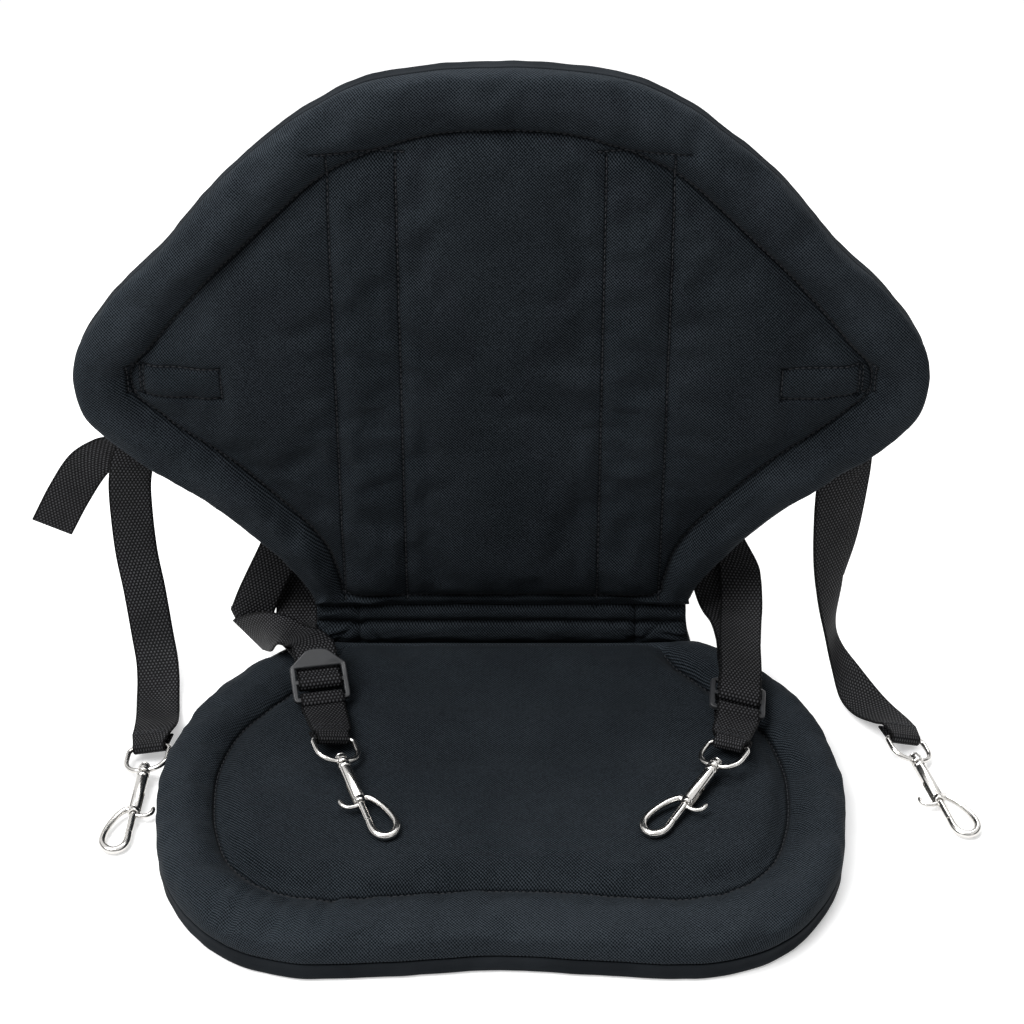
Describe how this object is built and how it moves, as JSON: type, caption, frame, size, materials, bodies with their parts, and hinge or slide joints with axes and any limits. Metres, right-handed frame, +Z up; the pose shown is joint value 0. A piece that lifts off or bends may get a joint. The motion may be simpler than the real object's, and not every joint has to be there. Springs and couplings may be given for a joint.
{
  "type": "kayak seat",
  "caption": "Folding padded kayak seat: puffed seat cushion, sewn-on backrest with stiffening stays, adjustable webbing straps and sprung swivel snap hooks",
  "frame": {"origin": "middle of the seat cushion, on its flat underside", "axes": "+Z up, square to the underside; +Y from the front of the seat to the backrest; +X across, to the right seen from the front"},
  "size_m": [0.5359, 0.3012, 0.376],
  "materials": {
    "cover_fabric": "near-black twill cover fabric with a slight blue tint",
    "underside_fabric": "black plain-woven coated fabric",
    "webbing": "black woven webbing",
    "buckle_plastic": "dark grey moulded plastic, softly shiny",
    "nickel_plate": "bright nickel plate",
    "spring_steel": "plain spring wire",
    "stay_alloy": "plain flat bar"
  },
  "bodies": {
    "seat": {"anchor_outer_left": "webbing", "anchor_outer_right": "webbing", "backrest_pad": "cover_fabric", "backrest_rear_cover": "underside_fabric", "buckle_inner_left": "buckle_plastic", "buckle_inner_right": "buckle_plastic", "buckle_outer_left": "buckle_plastic", "buckle_outer_right": "buckle_plastic", "hinge_flap": "cover_fabric", "hook_loop_inner_left": "webbing", "hook_loop_inner_right": "webbing", "seat_bottom_cover": "underside_fabric", "seat_pad": "cover_fabric", "stay_left": "stay_alloy", "stay_right": "stay_alloy", "strap_inner_left": "webbing", "strap_inner_right": "webbing", "strap_outer_left": "webbing", "strap_outer_right": "webbing"},
    "eye_outer_left": {"swivel_eye_outer_left": "nickel_plate"},
    "hook_outer_left": {"hook_body_outer_left": "nickel_plate", "spring_outer_left": "spring_steel"},
    "bolt_outer_left": {"bolt_outer_left": "nickel_plate"},
    "eye_outer_right": {"swivel_eye_outer_right": "nickel_plate"},
    "hook_outer_right": {"hook_body_outer_right": "nickel_plate", "spring_outer_right": "spring_steel"},
    "bolt_outer_right": {"bolt_outer_right": "nickel_plate"},
    "eye_inner_left": {"swivel_eye_inner_left": "nickel_plate"},
    "hook_inner_left": {"hook_body_inner_left": "nickel_plate", "spring_inner_left": "spring_steel"},
    "bolt_inner_left": {"bolt_inner_left": "nickel_plate"},
    "eye_inner_right": {"swivel_eye_inner_right": "nickel_plate"},
    "hook_inner_right": {"hook_body_inner_right": "nickel_plate", "spring_inner_right": "spring_steel"},
    "bolt_inner_right": {"bolt_inner_right": "nickel_plate"}
  },
  "joints": [
    {"name": "eye_lift_outer_left", "type": "hinge", "parent": "seat", "child": "eye_outer_left", "pos_m": [-0.19727, 0.03912, 0.00938], "axis": [-0.9757, 0.071, -0.2071], "range_deg": [0, 90]},
    {"name": "swivel_outer_left", "type": "hinge", "parent": "eye_outer_left", "child": "hook_outer_left", "pos_m": [-0.2001, -0.0131, 0.0048], "axis": [-0.0539, -0.9947, -0.0872], "continuous": true},
    {"name": "bolt_slide_outer_left", "type": "slide", "parent": "hook_outer_left", "child": "bolt_outer_left", "axis": [0.0539, 0.9947, 0.0872], "range_m": [0, 0.01], "stiffness_N_per_m": 300, "springref_m": -0.004, "deforming": ["spring_outer_left"]},
    {"name": "eye_lift_outer_right", "type": "hinge", "parent": "seat", "child": "eye_outer_right", "pos_m": [0.22689, 0.0486, 0.00806], "axis": [-0.9038, -0.2584, 0.3412], "range_deg": [0, 90]},
    {"name": "swivel_outer_right", "type": "hinge", "parent": "eye_outer_right", "child": "hook_outer_right", "pos_m": [0.24, -0.0021, 0.0044], "axis": [0.2498, -0.9658, -0.0698], "continuous": true},
    {"name": "bolt_slide_outer_right", "type": "slide", "parent": "hook_outer_right", "child": "bolt_outer_right", "axis": [-0.2498, 0.9658, 0.0698], "range_m": [0, 0.01], "stiffness_N_per_m": 300, "springref_m": -0.004, "deforming": ["spring_outer_right"]},
    {"name": "eye_lift_inner_left", "type": "hinge", "parent": "seat", "child": "eye_inner_left", "pos_m": [-0.09249, 0.01465, 0.03468], "axis": [-0.8899, -0.351, 0.2913], "range_deg": [0, 90]},
    {"name": "swivel_inner_left", "type": "hinge", "parent": "eye_inner_left", "child": "hook_inner_left", "pos_m": [-0.0746, -0.0345, 0.0301], "axis": [0.3407, -0.9361, -0.0872], "range_deg": [0, 24]},
    {"name": "bolt_slide_inner_left", "type": "slide", "parent": "hook_inner_left", "child": "bolt_inner_left", "axis": [-0.3407, 0.9361, 0.0872], "range_m": [0, 0.01], "stiffness_N_per_m": 300, "springref_m": -0.004, "deforming": ["spring_inner_left"]},
    {"name": "eye_lift_inner_right", "type": "hinge", "parent": "seat", "child": "eye_inner_right", "pos_m": [0.12461, 0.00918, 0.03468], "axis": [-0.8387, 0.5219, -0.1558], "range_deg": [0, 90]},
    {"name": "swivel_inner_right", "type": "hinge", "parent": "eye_inner_right", "child": "hook_inner_right", "pos_m": [0.0976, -0.0356, 0.0301], "axis": [0.5146, 0.853, 0.0872], "range_deg": [0, 24]},
    {"name": "bolt_slide_inner_right", "type": "slide", "parent": "hook_inner_right", "child": "bolt_inner_right", "axis": [0.5146, 0.853, 0.0872], "range_m": [0, 0.01], "stiffness_N_per_m": 300, "springref_m": -0.004, "deforming": ["spring_inner_right"]}
  ]
}
